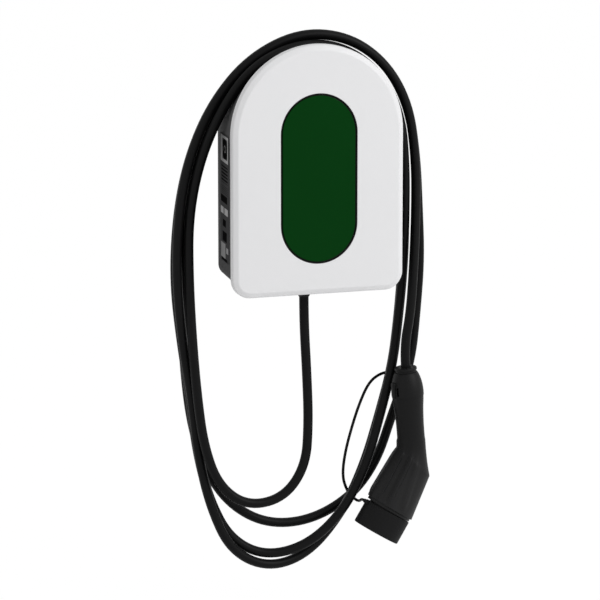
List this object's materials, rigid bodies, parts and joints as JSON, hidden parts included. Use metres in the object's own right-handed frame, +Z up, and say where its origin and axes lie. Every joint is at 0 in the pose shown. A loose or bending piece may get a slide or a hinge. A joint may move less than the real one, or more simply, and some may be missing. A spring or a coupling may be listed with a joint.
{
  "type": "ev wallbox",
  "caption": "Arch-topped wall charging unit for electric vehicles, with its cable hung over the housing and a capped vehicle connector on the end.",
  "frame": {"origin": "middle of the four wall fixing holes, on the wall plane", "axes": "+Y out of the housing's back, into the wall; the front faces -Y; +Z up; +X to the right as seen from the front"},
  "size_m": [0.3851, 0.118, 0.7794],
  "materials": {
    "cover_white": "satin white moulding",
    "housing_black": "matt black moulding",
    "window_glass": "very glossy dark green pane",
    "seal_rubber": "matt black rubber",
    "cable_black": "black cable sheath",
    "plug_black": "fine textured black",
    "inner_plastic": "matt black moulding",
    "gland_plastic": "black nylon",
    "steel": "zinc plated steel",
    "board_green": "green solder mask",
    "relay_dark": "black component case",
    "sensor_blue": "blue coated coil",
    "can_metal": "aluminium can",
    "terminal_grey": "grey terminal plastic",
    "light_board_white": "white solder mask",
    "light_guide_clear": "milky clear plastic",
    "contact_silver": "silver plated copper",
    "conductor_colours": "coloured wire insulation",
    "plate_print": "dark film with plain pale fields"
  },
  "bodies": {
    "unit": {"front_cover": "cover_white", "window_panel": "window_glass", "window_seal": "seal_rubber", "rear_housing": "housing_black", "housing_gasket": "seal_rubber", "inner_cover": "inner_plastic", "inner_cover_screws": "steel", "cover_foot_screws": "steel", "light_board": "light_board_white", "light_guide": "light_guide_clear", "main_board": "board_green", "board_screws": "steel", "power_relays": "relay_dark", "current_sensor": "sensor_blue", "power_supply": "relay_dark", "capacitors": "can_metal", "radio_module": "can_metal", "terminal_block": "terminal_grey", "terminal_screws": "steel", "gland_body": "gland_plastic", "gland_locknut": "gland_plastic", "gland_dome_nut": "gland_plastic", "gland_seal": "seal_rubber", "cable_sheath_end": "cable_black", "cable_conductors": "conductor_colours", "entry_grommet": "seal_rubber", "charging_cable": "cable_black", "connector_collar": "plug_black", "connector_rear_shell": "plug_black", "connector_handle": "plug_black", "connector_nose": "plug_black", "contact_sleeves": "contact_silver", "lanyard": "seal_rubber", "side_plate": "plate_print"},
    "cap": {"protective_cap": "plug_black"}
  },
  "joints": [
    {"name": "cap_pull", "type": "slide", "parent": "unit", "child": "cap", "axis": [-0.515, 0, -0.8572], "range_m": [0, 0.045]}
  ]
}
